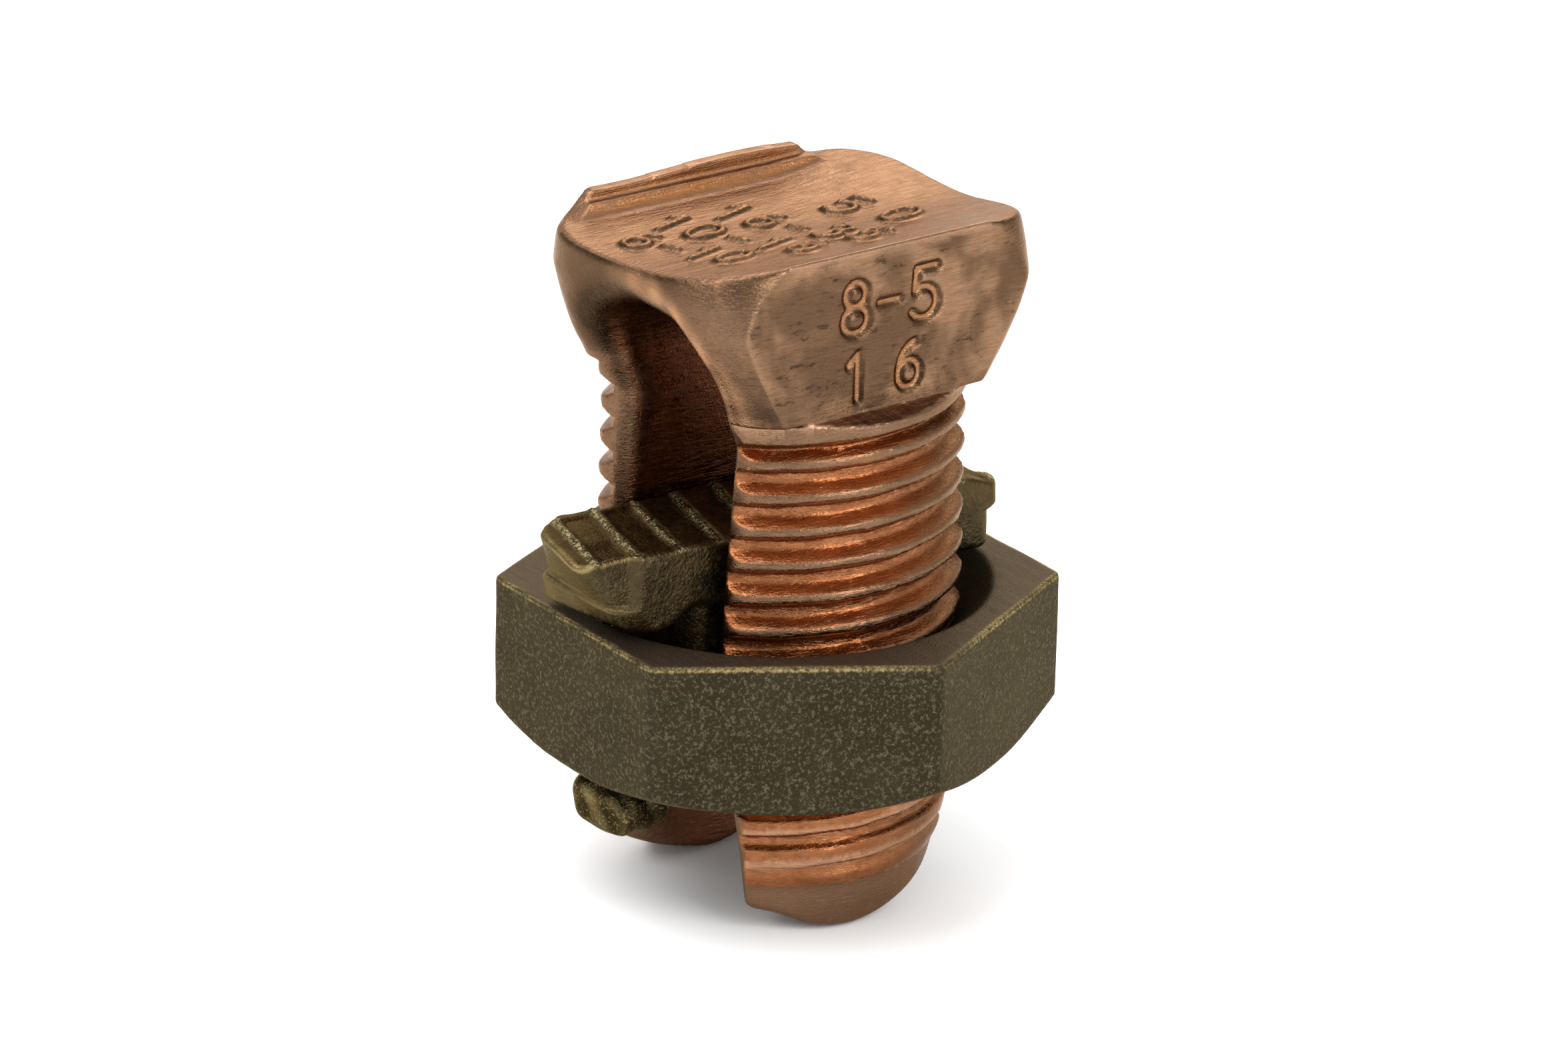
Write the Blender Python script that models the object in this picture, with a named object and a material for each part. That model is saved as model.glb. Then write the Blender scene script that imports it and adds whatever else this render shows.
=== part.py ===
"""Split-bolt ground clamp, made of three loose pieces.

A forged copper bolt is slotted from its tip to a round arch under its head, which leaves two threaded legs.
A cast bronze pressure bar rides in the slot. A bronze hex nut turns on the legs and carries the bar, which is
captive on it: the ends of the bar rest on the nut and its lugs hook under it. Its nose leans out past the nut.

Frame: metres, +Z along the bolt from the leg tips to the head, origin on the thread axis in the plane of
the leg tips. X is across the slot, from leg to leg, and Y is along the conductor.
"""

import math

import bmesh
import bpy

MM = 0.001
TURN = 2 * math.pi

# Clearances between pieces
FACE_GAP = 0.3 * MM
SIDE_GAP = 0.4 * MM
THREAD_FLANK_GAP = 0.2 * MM
THREAD_ROOT_GAP = 0.3 * MM

# Thread, right hand, 16 turns to the inch, 60 degrees between flanks
THREAD_PITCH = 25.4 / 16 * MM
THREAD_RADIUS = 8.3 * MM
THREAD_CREST = 0.30 * MM
THREAD_ROOT = 0.13 * MM
THREAD_START = 1.7 * MM
FLANK_SLOPE = math.tan(math.radians(30))
STEPS_PER_TURN = 36
SEGMENTS = 72

# Legs and slot
SLOT_WIDTH = 7.5 * MM
ARCH_CENTRE_HEIGHT = 25.2 * MM
LEG_CORNER_RADIUS = 0.9 * MM
TIP_LENGTH = 2.4 * MM
TIP_CLEAR_OF_ROOT = 0.1 * MM
TIP_CHAMFER = 0.6 * MM
TIP_CROWN = 1.7 * MM

# Head
HEAD_WALL = 3.65 * MM
HEAD_FLAT_STEP = 1.15 * MM
HEAD_FLAT_DROP = 0.15 * MM
HEAD_NECK = 0.9 * MM
HEAD_OVERHANG = 0.6 * MM
HEAD_DRAW = 0.6 * MM
HEAD_CORNER_SHARE = 0.78
HEAD_TILT = 0.9 * MM
HEAD_HOLLOW = 0.45 * MM
RIM_HEIGHT = 1.0 * MM
RIM_WIDTH = 0.9 * MM
RIM_LENGTH = 10.6 * MM

# Nut
NUT_LAND = 1.21 * MM
NUT_HEIGHT = 7.3 * MM
NUT_BASE_HEIGHT = 7.5 * MM
NUT_REST_TURN = math.radians(-3.4)
NUT_CREST = 0.2 * MM
NUT_COUNTERSINK_REACH = 1.3 * MM
NUT_COUNTERSINK_DEPTH = 1.2 * MM
NUT_RELIEF = 0.2 * MM
NUT_FACE_INSET = 0.21 * MM
CHAMFER_SLOPE = math.tan(math.radians(30))

# Pressure bar
BAR_BEARING = 1.3 * MM
BAR_OFFSET = -0.8 * MM
BAR_SIDE_HEIGHT = 3.45 * MM
BAR_CROWN = 0.25 * MM
BAR_END_RADIUS = 0.9 * MM
NOSE_SLANT = 1.75 * MM
NOSE_SKEW = math.radians(9)
BAR_FOOT_LENGTH = 2.2 * MM
BAR_ARCH_RISE = 0.9 * MM
RIDGE_SPACING = 2.25 * MM
RIDGE_HEIGHT = 0.35 * MM
RIDGE_WIDTH = 0.9 * MM
RIDGE_COUNT = 10
RIDGE_MIDDLE = -1.3 * MM
RIDGE_SKEW = math.radians(17)
STEM_DRAW = 0.35 * MM
LUG_HOOK = 2.6 * MM
LUG_HEIGHT = 3.1 * MM
LUG_DRAW = 1.25 * MM

THREAD_DEPTH = (THREAD_PITCH - THREAD_CREST - THREAD_ROOT) / (2 * FLANK_SLOPE)
THREAD_ROOT_RADIUS = THREAD_RADIUS - THREAD_DEPTH
HEAD_TOP = ARCH_CENTRE_HEIGHT + SLOT_WIDTH / 2 + HEAD_WALL
HEAD_FLATS_BOTTOM = ARCH_CENTRE_HEIGHT - HEAD_FLAT_DROP
THREAD_END = HEAD_FLATS_BOTTOM - HEAD_NECK
HEAD_FLATS = 2 * (THREAD_RADIUS - HEAD_FLAT_STEP)
HEAD_LENGTH = 2 * (THREAD_RADIUS + HEAD_OVERHANG)
HEAD_TOP_LENGTH = HEAD_LENGTH - 2 * HEAD_DRAW
NUT_TOP = NUT_BASE_HEIGHT + NUT_HEIGHT
NUT_CREST_GAPS = 2 * THREAD_FLANK_GAP + NUT_CREST
NUT_THREAD_OVERLAP = (THREAD_PITCH - THREAD_CREST - NUT_CREST_GAPS) / (2 * FLANK_SLOPE)
NUT_BORE_RADIUS = THREAD_RADIUS - NUT_THREAD_OVERLAP
NUT_THREAD_RADIUS = THREAD_RADIUS + THREAD_ROOT_GAP
NUT_COUNTERSINK_RADIUS = NUT_THREAD_RADIUS + NUT_COUNTERSINK_REACH
NUT_FLATS = 2 * (NUT_COUNTERSINK_RADIUS + NUT_LAND)
NUT_FACE_RADIUS = NUT_FLATS / 2 - NUT_FACE_INSET
BAR_WIDTH = SLOT_WIDTH - 2 * SIDE_GAP
BAR_LENGTH = 2 * (NUT_COUNTERSINK_RADIUS + BAR_BEARING)
STEM_WIDTH = BAR_WIDTH - 2 * STEM_DRAW
LUG_WIDTH = BAR_WIDTH - 2 * LUG_DRAW
LUG_REACH = NUT_BORE_RADIUS + LUG_HOOK
BAR_BASE = NUT_TOP + FACE_GAP
LUG_TOP = NUT_BASE_HEIGHT - FACE_GAP
BAR_TOP = BAR_BASE + BAR_SIDE_HEIGHT
FAR_OUT = 4 * THREAD_RADIUS
RING_ANGLES = [TURN * (i + 0.5) / SEGMENTS for i in range(SEGMENTS)]
OVERRUN = 1.0 * MM


def clear_scene():
    for obj in list(bpy.data.objects):
        bpy.data.objects.remove(obj, do_unlink=True)


def metal(name, colour, roughness):
    """A plain metal finish."""
    material = bpy.data.materials.new(name)
    material.use_nodes = True
    shader = material.node_tree.nodes["Principled BSDF"]
    shader.inputs["Base Color"].default_value = (*colour, 1.0)
    shader.inputs["Roughness"].default_value = roughness
    shader.inputs["Metallic"].default_value = 1.0
    return material


def mesh_object(name, points, faces):
    """A closed mesh object of flat triangles, with its faces turned outwards."""
    mesh = bpy.data.meshes.new(name)
    mesh.from_pydata(points, [], faces)
    shape = bmesh.new()
    shape.from_mesh(mesh)
    bmesh.ops.triangulate(shape, faces=shape.faces)
    bmesh.ops.recalc_face_normals(shape, faces=shape.faces)
    shape.to_mesh(mesh)
    shape.free()
    obj = bpy.data.objects.new(name, mesh)
    bpy.context.scene.collection.objects.link(obj)
    return obj


def loft(name, rings):
    """A solid through rings of equally many points, with a flat cap on the first and the last."""
    count = len(rings[0])
    points = [point for ring in rings for point in ring]
    faces = [tuple(range(count)), tuple(range(len(points) - count, len(points)))]
    for row in range(len(rings) - 1):
        for i in range(count):
            j = (i + 1) % count
            below, above = row * count, (row + 1) * count
            faces.append((below + i, below + j, above + j, above + i))
    return mesh_object(name, points, faces)


def circle(radius, height):
    """A ring of points about the Z axis."""
    return [(radius * math.cos(a), radius * math.sin(a), height) for a in RING_ANGLES]


def turned(name, profile):
    """A solid of revolution about Z from a profile of (radius, height), first to last up the outside."""
    return loft(name, [circle(radius, height) for radius, height in profile])


def swept_across(name, outline, half_width):
    """A prism across X from an outline of (y, z)."""
    return loft(name, [[(side * half_width, y, z) for y, z in outline] for side in (-1, 1)])


def standing_prism(name, outline, bottom, top):
    """A prism along Z from an outline of (x, y)."""
    return loft(name, [[(x, y, z) for x, y in outline] for z in (bottom, top)])


def arc(centre, radius, start, end, steps):
    """Points on an arc, both ends included, with angles in degrees."""
    angles = [math.radians(start + (end - start) * i / steps) for i in range(steps + 1)]
    return [(centre[0] + radius * math.cos(a), centre[1] + radius * math.sin(a)) for a in angles]


def helical_groove(name, inner_radius, inner_width, outer_radius, outer_width, start, end):
    """A right-hand helical bar of trapezoid section. It starts on +X and ends on the Y axis, in the slot."""
    half_turns = math.floor((end - start) / THREAD_PITCH * 2) + 0.5
    steps = round(half_turns * STEPS_PER_TURN / 2)
    rings = []
    for i in range(steps + 1):
        angle = TURN * i / STEPS_PER_TURN
        height = start + THREAD_PITCH * i / STEPS_PER_TURN
        section = (
            (inner_radius, height - inner_width / 2),
            (outer_radius, height - outer_width / 2),
            (outer_radius, height + outer_width / 2),
            (inner_radius, height + inner_width / 2),
        )
        rings.append([(r * math.cos(angle), r * math.sin(angle), z) for r, z in section])
    return loft(name, rings)


def combine(target, tool, operation):
    """Keeps a live Boolean on the target, and hides its tool."""
    modifier = target.modifiers.new(f"{operation.lower()}_{tool.name}", "BOOLEAN")
    modifier.operation = operation
    modifier.object = tool
    modifier.solver = "EXACT"
    tool.hide_render = True
    tool.display_type = "WIRE"


def finish(obj, material):
    obj.data.materials.append(material)
    obj.data.shade_smooth()
    obj.data.set_sharp_from_angle(angle=math.radians(30))


def slot_half_width(y):
    """Half the slot's width at a place along it: its mouths are rounded out by the legs' corner radius."""
    flat_end = leg_flat_half_length()
    into_corner = min(max(abs(y) - flat_end, 0.0), LEG_CORNER_RADIUS)
    return SLOT_WIDTH / 2 + LEG_CORNER_RADIUS - math.sqrt(LEG_CORNER_RADIUS**2 - into_corner**2)


def leg_flat_half_length():
    """Half the length of a leg's flat inner face: its corner arc also touches the thread's outer circle."""
    centre_x = SLOT_WIDTH / 2 + LEG_CORNER_RADIUS
    return math.sqrt((THREAD_RADIUS - LEG_CORNER_RADIUS) ** 2 - centre_x**2)


def slot_cutter():
    """The slot with its round arch, as sections along Y that flare at both mouths."""
    flat_end = leg_flat_half_length()
    stations = [flat_end + LEG_CORNER_RADIUS * share for share in (0.0, 0.4, 0.7, 0.9, 1.0)] + [FAR_OUT]
    rings = []
    for y in [-s for s in reversed(stations)] + stations:
        half = slot_half_width(y)
        outline = [(half, -OVERRUN), *arc((0, ARCH_CENTRE_HEIGHT), half, 0, 180, 16), (-half, -OVERRUN)]
        rings.append([(x, y, z) for x, z in outline])
    return loft("slot_cutter", rings)


def bolt_thread_cutter():
    """The groove between the bolt's crests, a little proud of the crest radius."""
    proud = 0.1 * MM
    proud_width = THREAD_ROOT + 2 * (THREAD_DEPTH + proud) * FLANK_SLOPE
    return helical_groove(
        "bolt_thread_cutter",
        THREAD_ROOT_RADIUS,
        THREAD_ROOT,
        THREAD_RADIUS + proud,
        proud_width,
        THREAD_START,
        THREAD_END,
    )


def nut_thread_cutter():
    """The groove inside the nut, which clears the bolt's crest and flanks by the thread gaps."""
    start = THREAD_START + THREAD_PITCH / 2
    start += THREAD_PITCH * (math.floor((NUT_BASE_HEIGHT - start) / THREAD_PITCH) - 1)
    overshoot = 0.05 * MM

    def width_at(radius):
        return THREAD_CREST + 2 * THREAD_FLANK_GAP + 2 * (THREAD_RADIUS - radius) * FLANK_SLOPE

    inner = NUT_BORE_RADIUS - overshoot
    return helical_groove(
        "nut_thread_cutter",
        inner,
        width_at(inner),
        NUT_THREAD_RADIUS,
        width_at(NUT_THREAD_RADIUS),
        start,
        NUT_TOP + 2 * THREAD_PITCH,
    )


def head_ring(half_length, flare, height):
    """One ring of the head: a long rounded outline between a circle (flare 0) and the full head (flare 1)."""
    ring = []
    half_width = HEAD_FLATS / 2 / HEAD_CORNER_SHARE
    for angle in RING_ANGLES:
        cosine, sine = math.cos(angle), math.sin(angle)
        squared = (abs(cosine) ** 3 + abs(sine) ** 3) ** (-1 / 3)
        x = (1 - flare) * THREAD_RADIUS * cosine + flare * half_width * squared * cosine
        y = (1 - flare) * THREAD_RADIUS * sine + flare * half_length * squared * sine
        ring.append((x, y, height))
    return ring


def bolt_blank():
    """The bolt before it is cut: tip, shank and a head that swells along Y and draws in again at its top."""
    tip = THREAD_ROOT_RADIUS - TIP_CLEAR_OF_ROOT
    shoulder = (THREAD_RADIUS, TIP_LENGTH + THREAD_DEPTH)
    profile = ((tip - TIP_CHAMFER, 0.0), (tip, TIP_CHAMFER), (tip, TIP_LENGTH), shoulder)
    rings = [circle(radius, height) for radius, height in profile]
    neck = HEAD_FLATS_BOTTOM - HEAD_NECK
    swell = HEAD_FLATS_BOTTOM + 0.62 * (HEAD_TOP - HEAD_FLATS_BOTTOM)
    rings.append(head_ring(THREAD_RADIUS, 0.0, neck))
    for share in (0.25, 0.5, 0.75, 1.0):
        rise = share * share * (3 - 2 * share)
        half = THREAD_RADIUS + (HEAD_LENGTH / 2 - THREAD_RADIUS) * rise
        rings.append(head_ring(half, rise, neck + (swell - neck) * share))
    for share in (0.4, 0.75, 1.0):
        half = HEAD_LENGTH / 2 - (HEAD_LENGTH - HEAD_TOP_LENGTH) / 2 * share**2
        rings.append(head_ring(half, 1.0, swell + (HEAD_TOP - swell) * share))
    return loft("split_bolt", rings)


def flat_cutters():
    """Two blocks that trim the head to its wrench flats, down to a shoulder on the thread."""
    blocks = []
    for name, side in (("flat_cutter_right", 1), ("flat_cutter_left", -1)):
        inner, outer = side * HEAD_FLATS / 2, side * FAR_OUT
        outline = [(inner, -FAR_OUT), (outer, -FAR_OUT), (outer, FAR_OUT), (inner, FAR_OUT)]
        blocks.append(standing_prism(name, outline, HEAD_FLATS_BOTTOM, HEAD_TOP + OVERRUN))
    return blocks


def top_cutter():
    """The hollow top face: it tilts down towards -X and leaves a raised rim along that edge."""
    reach = HEAD_FLATS / 2
    tilt_base = HEAD_TOP - RIM_HEIGHT
    inner_edge = -reach + RIM_WIDTH
    outline = []
    steps = 8
    for i in range(steps + 1):
        share = i / steps
        x = inner_edge + (reach + OVERRUN - inner_edge) * share
        sag = HEAD_HOLLOW * math.sin(math.pi * share)
        outline.append((x, tilt_base + HEAD_TILT * share - sag))
    outline += [(reach + OVERRUN, HEAD_TOP + OVERRUN), (inner_edge, HEAD_TOP + OVERRUN)]
    rings = [[(x, side * FAR_OUT, z) for x, z in outline] for side in (-1, 1)]
    return loft("top_cutter", rings)


def rim_end_cutters():
    """Two blocks that slope the rim's ends down to the top face."""
    base = HEAD_TOP - RIM_HEIGHT
    inner_edge = RIM_WIDTH - HEAD_FLATS / 2
    blocks = []
    for name, side in (("rim_end_cutter_front", -1), ("rim_end_cutter_back", 1)):
        outline = [
            (side * RIM_LENGTH / 2, HEAD_TOP + OVERRUN),
            (side * RIM_LENGTH / 2, HEAD_TOP),
            (side * (RIM_LENGTH / 2 + RIM_HEIGHT), base),
            (side * FAR_OUT, base),
            (side * FAR_OUT, HEAD_TOP + OVERRUN),
        ]
        blocks.append(loft(name, [[(x, y, z) for y, z in outline] for x in (-FAR_OUT, inner_edge)]))
    return blocks


def tip_cutter():
    """Leaves the legs' ends crowned: lowest midway along Y and higher at their corners."""
    reach = THREAD_RADIUS + OVERRUN
    steps = 12
    outline = [(reach * (2 * i / steps - 1), TIP_CROWN * (2 * i / steps - 1) ** 2) for i in range(steps + 1)]
    outline += [(reach, -FAR_OUT), (-reach, -FAR_OUT)]
    return swept_across("tip_cutter", outline, FAR_OUT)


def build_split_bolt():
    bolt = bolt_blank()
    combine(bolt, top_cutter(), "DIFFERENCE")
    for cutter in flat_cutters() + rim_end_cutters():
        combine(bolt, cutter, "DIFFERENCE")
    combine(bolt, tip_cutter(), "DIFFERENCE")
    combine(bolt, bolt_thread_cutter(), "DIFFERENCE")
    combine(bolt, slot_cutter(), "DIFFERENCE")
    finish(bolt, metal("forged_copper", (0.62, 0.33, 0.20), 0.38))


def build_hex_nut():
    corner = NUT_FLATS / 2 / math.cos(math.radians(30))
    corner_angles = [NUT_REST_TURN + TURN * i / 6 for i in range(6)]
    hexagon = [(corner * math.cos(angle), corner * math.sin(angle)) for angle in corner_angles]
    nut = standing_prism("hex_nut", hexagon, NUT_BASE_HEIGHT, NUT_TOP)
    cone_low = NUT_FACE_RADIUS - OVERRUN / CHAMFER_SLOPE
    cone_high = NUT_BASE_HEIGHT + (corner + OVERRUN - NUT_FACE_RADIUS) * CHAMFER_SLOPE
    chamfer = turned(
        "nut_chamfer_tool",
        (
            (cone_low, NUT_BASE_HEIGHT - OVERRUN),
            (corner + OVERRUN, cone_high),
            (corner + OVERRUN, NUT_TOP + OVERRUN),
        ),
    )
    combine(nut, chamfer, "INTERSECT")
    bore = turned(
        "nut_bore_cutter",
        (
            (NUT_BORE_RADIUS, NUT_BASE_HEIGHT - OVERRUN),
            (NUT_BORE_RADIUS, NUT_TOP - NUT_COUNTERSINK_DEPTH - OVERRUN),
            (NUT_THREAD_RADIUS + NUT_RELIEF, NUT_TOP - NUT_COUNTERSINK_DEPTH),
            (NUT_COUNTERSINK_RADIUS, NUT_TOP),
            (NUT_COUNTERSINK_RADIUS, NUT_TOP + OVERRUN),
        ),
    )
    combine(nut, bore, "DIFFERENCE")
    combine(nut, nut_thread_cutter(), "DIFFERENCE")
    finish(nut, metal("aged_bronze", (0.13, 0.11, 0.06), 0.45))


def bar_outline():
    """The bar seen across X: flat feet, an arch between them, a light crown and a nose that leans out."""
    half = BAR_LENGTH / 2
    stem_half = stem_half_length()
    nose = BAR_OFFSET - half - BAR_WIDTH / 2 * math.tan(NOSE_SKEW)
    bottom = []
    for side, end in ((-1, nose + NOSE_SLANT), (1, BAR_OFFSET + half)):
        foot = (end - side * BAR_FOOT_LENGTH, BAR_BASE)
        corners = [(end, BAR_BASE), foot, (side * stem_half, BAR_BASE + BAR_ARCH_RISE)]
        bottom += corners if side < 0 else corners[::-1]
    steps = 8
    shares = [1 - 2 * i / steps for i in range(steps)]
    top = [(BAR_OFFSET + half * share, BAR_TOP - BAR_CROWN * share**2) for share in shares]
    return bottom + top + [(nose, BAR_TOP - BAR_CROWN)]


def stem_half_length():
    """The stem's ends stay a face gap inside the nut's bore."""
    return math.sqrt((NUT_BORE_RADIUS - FACE_GAP) ** 2 - (STEM_WIDTH / 2) ** 2)


def stem_outline():
    """The stem seen across X, from inside the bar down through the nut to the lugs."""
    half = stem_half_length()
    foot = LUG_TOP - LUG_HEIGHT / 2
    inside_bar = BAR_BASE + 2 * BAR_ARCH_RISE
    return [(-half, foot), (half, foot), (half, inside_bar), (-half, inside_bar)]


def lug_outline():
    """The stem's foot seen across X: it hooks out under the nut at both ends, which are round."""
    radius = LUG_HEIGHT / 2
    reach = LUG_REACH - radius
    height = LUG_TOP - radius
    return arc((reach, height), radius, -90, 90, 8) + arc((-reach, height), radius, 90, 270, 8)


def ridge_cluster():
    """Skewed ridges across the bar's top, each a triangular prism sunk a little into it."""
    sink = 0.15 * MM
    reach = BAR_WIDTH / 2
    points, faces = [], []
    for i in range(RIDGE_COUNT):
        from_middle = (i - (RIDGE_COUNT - 1) / 2) * RIDGE_SPACING
        y = RIDGE_MIDDLE + from_middle
        base = BAR_TOP - BAR_CROWN * (2 * (y - BAR_OFFSET) / BAR_LENGTH) ** 2
        first = len(points)
        for side in (-1, 1):
            shift = -side * reach * math.tan(RIDGE_SKEW)
            for dy, dz in ((-RIDGE_WIDTH / 2, -sink), (RIDGE_WIDTH / 2, -sink), (0.0, RIDGE_HEIGHT)):
                points.append((side * reach, y + shift + dy, base + dz))
        for face in ((0, 1, 2), (3, 4, 5), (0, 1, 4, 3), (1, 2, 5, 4), (2, 0, 3, 5)):
            faces.append(tuple(first + k for k in face))
    return mesh_object("bar_ridges", points, faces)


def bar_plan_tool():
    """The bar's plan outline, with rounded corners and its nose cut askew."""
    radius = BAR_END_RADIUS
    reach_x = BAR_WIDTH / 2 - radius
    reach_y = BAR_LENGTH / 2 - radius
    outline = []
    for quarter, (across, along) in enumerate(((1, 1), (-1, 1), (-1, -1), (1, -1))):
        askew = across * reach_x * math.tan(NOSE_SKEW) if along < 0 else 0
        centre = (across * reach_x, BAR_OFFSET + along * reach_y - askew)
        outline += arc(centre, radius, 90 * quarter, 90 * quarter + 90, 6)
    return standing_prism("bar_plan_tool", outline, BAR_BASE - OVERRUN, BAR_TOP + OVERRUN)


def build_pressure_bar():
    bar = swept_across("pressure_bar", bar_outline(), BAR_WIDTH / 2 + OVERRUN)
    combine(bar, ridge_cluster(), "UNION")
    combine(bar, bar_plan_tool(), "INTERSECT")
    combine(bar, swept_across("bar_stem", stem_outline(), STEM_WIDTH / 2), "UNION")
    combine(bar, swept_across("bar_lugs", lug_outline(), LUG_WIDTH / 2), "UNION")
    finish(bar, metal("cast_bronze", (0.20, 0.16, 0.08), 0.5))


clear_scene()
build_split_bolt()
build_pressure_bar()
build_hex_nut()
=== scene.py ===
"""The split-bolt ground clamp as it looks: a copper bolt, a cast bronze pressure bar and a bronze hex nut.

Each piece is one surface, worked out from distances to its faces on a fine grid, so that its edges are
worn and its corners filled as on a forging or a casting. Lengths are in millimetres until a mesh is made.
"""

import math

import bpy
import numpy as np
from mathutils import Matrix, Vector


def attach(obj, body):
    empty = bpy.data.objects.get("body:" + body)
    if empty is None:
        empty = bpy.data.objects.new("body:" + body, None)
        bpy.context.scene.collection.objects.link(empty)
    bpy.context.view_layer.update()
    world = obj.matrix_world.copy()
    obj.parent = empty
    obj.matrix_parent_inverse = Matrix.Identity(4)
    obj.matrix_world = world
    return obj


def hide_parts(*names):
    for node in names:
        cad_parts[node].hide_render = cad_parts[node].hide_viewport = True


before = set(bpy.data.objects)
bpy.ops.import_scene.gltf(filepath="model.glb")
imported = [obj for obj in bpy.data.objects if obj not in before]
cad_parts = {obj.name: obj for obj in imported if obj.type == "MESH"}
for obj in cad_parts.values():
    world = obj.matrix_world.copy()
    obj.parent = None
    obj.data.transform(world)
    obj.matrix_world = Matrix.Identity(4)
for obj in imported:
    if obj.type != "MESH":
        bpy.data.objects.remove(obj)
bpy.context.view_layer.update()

MM = 0.001
TAN30 = math.tan(math.radians(30))

# Grid step of the surfaces, and the most triangles that each keeps
CELL = 0.12
NUT_CELL = CELL * 1.15
BOLT_TRIANGLES = 196000
NUT_TRIANGLES = 150000
BAR_TRIANGLES = 150000

# Thread, right hand
PITCH = 25.4 / 16
CREST_RADIUS = 8.3
ROOT_RADIUS = 7.58
CREST_WIDTH = 0.32
CREST_HEIGHT = 1.07
NECK_HEIGHT = 24.3
THREAD_TOP = 24.0
TIP_HEIGHT = 2.5

# Slot, legs and head
SLOT_HALF = 3.75
ARCH_CENTRE = 25.2
HEAD_HALF = 7.15
HEAD_BASE = 24.9
SHANK_TOP = 25.0
LEDGE_HEIGHT = 25.05
TOP_LOW = 31.4
TOP_RISE = 1.12
TOP_HOLLOW = 0.55
TOP_MARK_RELIEF = 0.26
SIDE_MARK_RELIEF = 0.27

# Thin raised lip along the top's -X side, with a low step at its foot
RIM_MIDDLE = -6.95
RIM_HALF = 0.5
RIM_HEIGHT = 32.5
RIM_REACH = 6.6
STEP_MIDDLE = -6.75
STEP_HALF = 0.75
STEP_HEIGHT = 31.95

# Nut
NUT_HALF = 11.17
NUT_BASE = 7.5
NUT_TOP = 14.8
NUT_TURN = math.radians(-3.4)
NUT_BORE = 7.7
NUT_GROOVE = 8.6
NUT_FACE = 10.9
NUT_SHIFT = (0.12, 0.15)
COUNTERSINK = 9.9

# Bar
BAR_HALF = 3.35
BAR_BASE = 15.1
BAR_FRONT = -10.71
BAR_BACK = 10.4
RIDGE_SPACING = 2.25
RIDGE_SKEW = 0.30
RIDGE_PHASE = 11.43
STEM_TOP = 17.0
STEM_BASE = 6.6
LUG_MIDDLE = (8.75, 5.85)

# Camera fitted to the photograph: degrees, millimetres, and the focal length as a share of the picture
CAMERA_ANGLES = (52.14, 21.39, 1.27)
CAMERA_DISTANCE = 313.19
CAMERA_SHIFT = (0.25, 2.30)
FOCAL_SHARE = 10352.23 / 2352


# ---- distance fields -------------------------------------------------------------------------------------


def step(low, high, value):
    """A smooth 0 to 1 as the value goes from low to high."""
    share = np.clip((value - low) / (high - low), 0, 1)
    return share * share * (3 - 2 * share)


def round_and(a, b, radius):
    """Where two shapes overlap, with the edge between them rounded."""
    u, v = np.maximum(a + radius, 0), np.maximum(b + radius, 0)
    return np.minimum(-radius, np.maximum(a, b)) + np.sqrt(u * u + v * v)


def round_or(a, b, radius):
    """Two shapes joined, with the corner between them filled."""
    u, v = np.maximum(radius - a, 0), np.maximum(radius - b, 0)
    return np.maximum(radius, np.minimum(a, b)) - np.sqrt(u * u + v * v)


def ripple(x, y, z, size, seed):
    """Smooth unevenness about zero, with lumps of about this size."""
    random = np.random.RandomState(seed)
    total = 0
    for _ in range(6):
        direction = random.normal(size=3)
        direction *= 2 * math.pi / size / np.linalg.norm(direction) * random.uniform(0.6, 1.4)
        phase = random.uniform(0, 2 * math.pi)
        total = total + np.sin(x * direction[0] + y * direction[1] + z * direction[2] + phase)
    return total / 3


def table(value, places, amounts):
    """A smooth curve through the amounts, looked up from a fine copy of it."""
    fine = np.linspace(places[0], places[-1], 400)
    rough = np.interp(fine, places, amounts)
    kernel = np.hanning(41)
    padded = np.pad(rough, 20, mode="edge")
    smooth = np.convolve(padded, kernel / kernel.sum(), mode="valid")
    return np.interp(value, fine, smooth).astype(np.float32)


# ---- marks: plain numbers --------------------------------------------------------------------------------


def bow(x, y, width, height, start, end, steps=10):
    """Points along part of an ellipse, from one angle to another."""
    angles = np.radians(np.linspace(start, end, steps + 1))
    return [(x + width * math.cos(a), y + height * math.sin(a)) for a in angles]


STROKES = {
    "0": [bow(0.3, 0.5, 0.3, 0.5, 0, 360, 16)],
    "1": [[(0.1, 0.78), (0.34, 1.0), (0.34, 0.0)]],
    "3": [bow(0.28, 0.76, 0.27, 0.24, 150, -80) + bow(0.28, 0.26, 0.3, 0.26, 80, -150)],
    "5": [[(0.56, 1.0), (0.1, 1.0), (0.07, 0.55)] + bow(0.27, 0.31, 0.31, 0.31, 120, -150)],
    "6": [bow(0.3, 0.3, 0.28, 0.3, 0, 360, 14), bow(0.52, 0.32, 0.5, 0.68, 180, 100)],
    "8": [bow(0.3, 0.76, 0.24, 0.24, 0, 360, 12), bow(0.3, 0.26, 0.29, 0.26, 0, 360, 12)],
    "-": [[(0.05, 0.5), (0.5, 0.5)]],
}


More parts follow.
